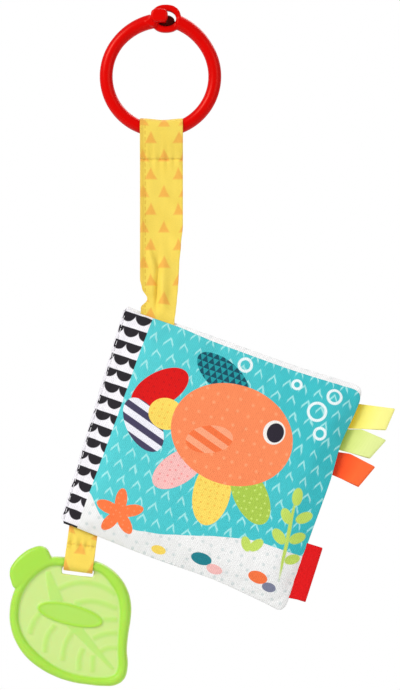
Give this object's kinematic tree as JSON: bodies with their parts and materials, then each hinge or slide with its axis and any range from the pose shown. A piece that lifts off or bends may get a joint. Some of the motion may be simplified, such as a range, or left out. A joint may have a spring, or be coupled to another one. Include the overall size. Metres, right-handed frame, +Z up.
{
  "type": "crinkle cloth book",
  "caption": "Soft cloth baby book on a snap ring: padded crinkling covers and page, ribbon tags in its side seam, and a leaf teether on a cloth loop below.",
  "frame": {"origin": "centre of the hanging ring, in the middle of its thickness", "axes": "+Z up as the book hangs, -Y towards the viewer of the front cover, +X to that viewer's right"},
  "size_m": [0.1981, 0.0122, 0.3481],
  "materials": {
    "red_plastic": "glossy moulded plastic",
    "yellow_cloth": "satiny woven cloth with printed orange triangles",
    "printed_cloth": "printed twill cloth",
    "scallop_cloth": "printed twill cloth with black scallops",
    "white_cloth": "plain twill cloth",
    "yellow_ribbon": "satin ribbon",
    "lime_ribbon": "satin ribbon",
    "orange_ribbon": "satin ribbon",
    "red_label": "woven tape",
    "green_silicone": "smooth moulded silicone",
    "thread": "sewing thread",
    "white_thread": "sewing thread",
    "crinkle_film": "thin crinkling film",
    "wadding": "soft fibre wadding"
  },
  "bodies": {
    "ring": {"hanging_ring": "red_plastic"},
    "hanger_loop": {"hanger_loop": "yellow_cloth", "hanger_stitching_front": "thread", "hanger_stitching_back": "thread"},
    "strap": {"hanger_strap": "yellow_cloth"},
    "book": {"spine_binding": "scallop_cloth", "spine_stitching_front": "white_thread", "spine_stitching_back": "white_thread", "page_front": "white_cloth", "page_back": "white_cloth", "page_crinkle_film": "crinkle_film", "page_wadding": "wadding"},
    "front_cover": {"front_cover_face": "printed_cloth", "front_cover_lining": "white_cloth", "front_cover_crinkle_film": "crinkle_film", "front_cover_wadding": "wadding"},
    "back_cover": {"back_cover_face": "printed_cloth", "back_cover_lining": "white_cloth", "back_cover_crinkle_film": "crinkle_film", "back_cover_wadding": "wadding"},
    "tag_yellow": {"ribbon_tag_yellow": "yellow_ribbon"},
    "tag_lime": {"ribbon_tag_lime": "lime_ribbon"},
    "tag_orange": {"ribbon_tag_orange": "orange_ribbon"},
    "label": {"side_label": "red_label"},
    "leaf_loop": {"leaf_loop": "yellow_cloth", "leaf_loop_stitching_front": "thread", "leaf_loop_stitching_back": "thread"},
    "leaf": {"leaf_teether": "green_silicone"}
  },
  "joints": [
    {"name": "loop_round_ring", "type": "hinge", "parent": "ring", "child": "hanger_loop", "pos_m": [0, 0, 0], "axis": [0, 1, 0], "range_deg": [-125, 125]},
    {"name": "strap_swing", "type": "hinge", "parent": "hanger_loop", "child": "strap", "pos_m": [0.0005, 0, -0.0428], "axis": [1, 0, 0], "range_deg": [-85, 85]},
    {"name": "book_swing", "type": "hinge", "parent": "strap", "child": "book", "pos_m": [-0.0013, 0, -0.12185], "axis": [0.9481, 0, -0.318], "range_deg": [-85, 85]},
    {"name": "front_cover_open", "type": "hinge", "parent": "book", "child": "front_cover", "pos_m": [-0.03282, -0.0019, -0.17297], "axis": [-0.2869, 0, -0.958], "range_deg": [0, 150]},
    {"name": "back_cover_open", "type": "hinge", "parent": "book", "child": "back_cover", "pos_m": [-0.03282, 0.0019, -0.17297], "axis": [0.2869, 0, 0.958], "range_deg": [0, 150]},
    {"name": "yellow_tag_fold", "type": "hinge", "parent": "book", "child": "tag_yellow", "pos_m": [0.10043, 0, -0.17486], "axis": [0.3449, 0, 0.9386], "range_deg": [-60, 60], "stiffness_Nm_per_rad": 0.0002},
    {"name": "lime_tag_fold", "type": "hinge", "parent": "book", "child": "tag_lime", "pos_m": [0.0957, 0, -0.18775], "axis": [0.3448, 0, 0.9387], "range_deg": [-60, 60], "stiffness_Nm_per_rad": 0.0002},
    {"name": "orange_tag_fold", "type": "hinge", "parent": "book", "child": "tag_orange", "pos_m": [0.09121, 0, -0.19998], "axis": [0.3448, 0, 0.9387], "range_deg": [-60, 60], "stiffness_Nm_per_rad": 0.0002},
    {"name": "label_fold", "type": "hinge", "parent": "front_cover", "child": "label", "pos_m": [0.07131, -0.00258, -0.25186], "axis": [0.3452, 0, 0.9385], "range_deg": [-60, 60], "stiffness_Nm_per_rad": 0.0002},
    {"name": "leaf_loop_swing", "type": "hinge", "parent": "book", "child": "leaf_loop", "pos_m": [-0.03955, 0, -0.23332], "axis": [0.9278, 0, -0.3731], "range_deg": [-45, 45]},
    {"name": "leaf_swing", "type": "hinge", "parent": "leaf_loop", "child": "leaf", "pos_m": [-0.04165, 0, -0.24908], "axis": [0.9912, 0, -0.1323], "range_deg": [-40, 40]}
  ]
}
